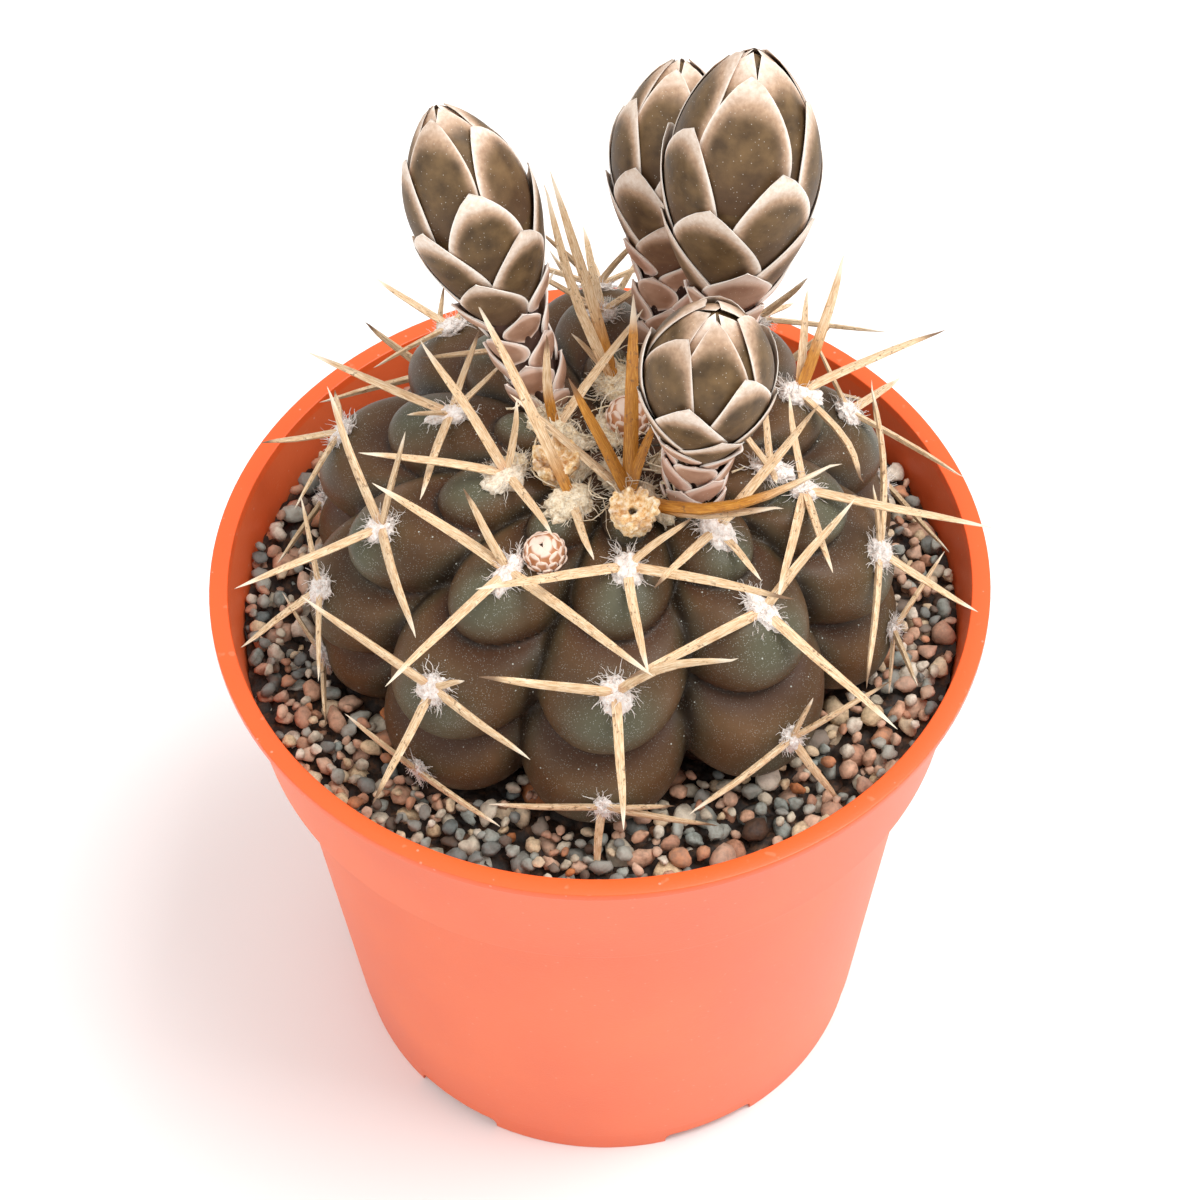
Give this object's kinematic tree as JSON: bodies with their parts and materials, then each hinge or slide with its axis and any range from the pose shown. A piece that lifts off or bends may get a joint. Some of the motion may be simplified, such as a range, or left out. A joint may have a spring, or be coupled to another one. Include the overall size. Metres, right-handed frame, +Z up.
{
  "type": "potted round cactus",
  "caption": "Low ribbed globe cactus with straw-coloured spines and scaly flower buds, standing in soil and grit in a round tapered plastic nursery pot.",
  "frame": {"origin": "middle of the plane that the pot's feet stand on", "axes": "+Z up; the picture's front is -Y and its right is +X"},
  "size_m": [0.105, 0.105, 0.1687],
  "materials": {
    "pot_plastic": "satin",
    "potting_soil": "matte",
    "grit": "matte",
    "cactus_skin": "satin",
    "spines": "satin",
    "bud_scales": "satin",
    "young_buds": "matte",
    "dry_petals": "matte"
  },
  "bodies": {
    "root": {"pot": "pot_plastic", "soil": "potting_soil", "grit_bed": "grit", "cactus_body": "cactus_skin", "areole_a1": "spines", "areole_a2": "spines", "areole_a3": "spines", "areole_a4": "spines", "areole_j1": "spines", "areole_j2": "spines", "areole_j3": "spines", "areole_i1": "spines", "areole_i2": "spines", "areole_i3": "spines", "areole_i4": "spines", "areole_k1": "spines", "areole_k2": "spines", "areole_k3": "spines", "areole_g1": "spines", "areole_g2": "spines", "areole_f1": "spines", "areole_f2": "spines", "areole_f3": "spines", "areole_f4": "spines", "areole_e1": "spines", "areole_e2": "spines", "areole_e3": "spines", "areole_d1": "spines", "areole_d2": "spines", "areole_d3": "spines", "areole_d4": "spines", "areole_c1": "spines", "areole_c2": "spines", "areole_c3": "spines", "areole_c4": "spines", "areole_b1": "spines", "areole_b2": "spines", "areole_b3": "spines", "areole_b4": "spines", "bud_left": "bud_scales", "bud_back": "bud_scales", "bud_right": "bud_scales", "bud_front": "bud_scales", "budlet_crown": "young_buds", "budlet_side": "young_buds", "dried_flower_front": "dry_petals", "dried_flower_side": "dry_petals"}
  },
  "joints": []
}
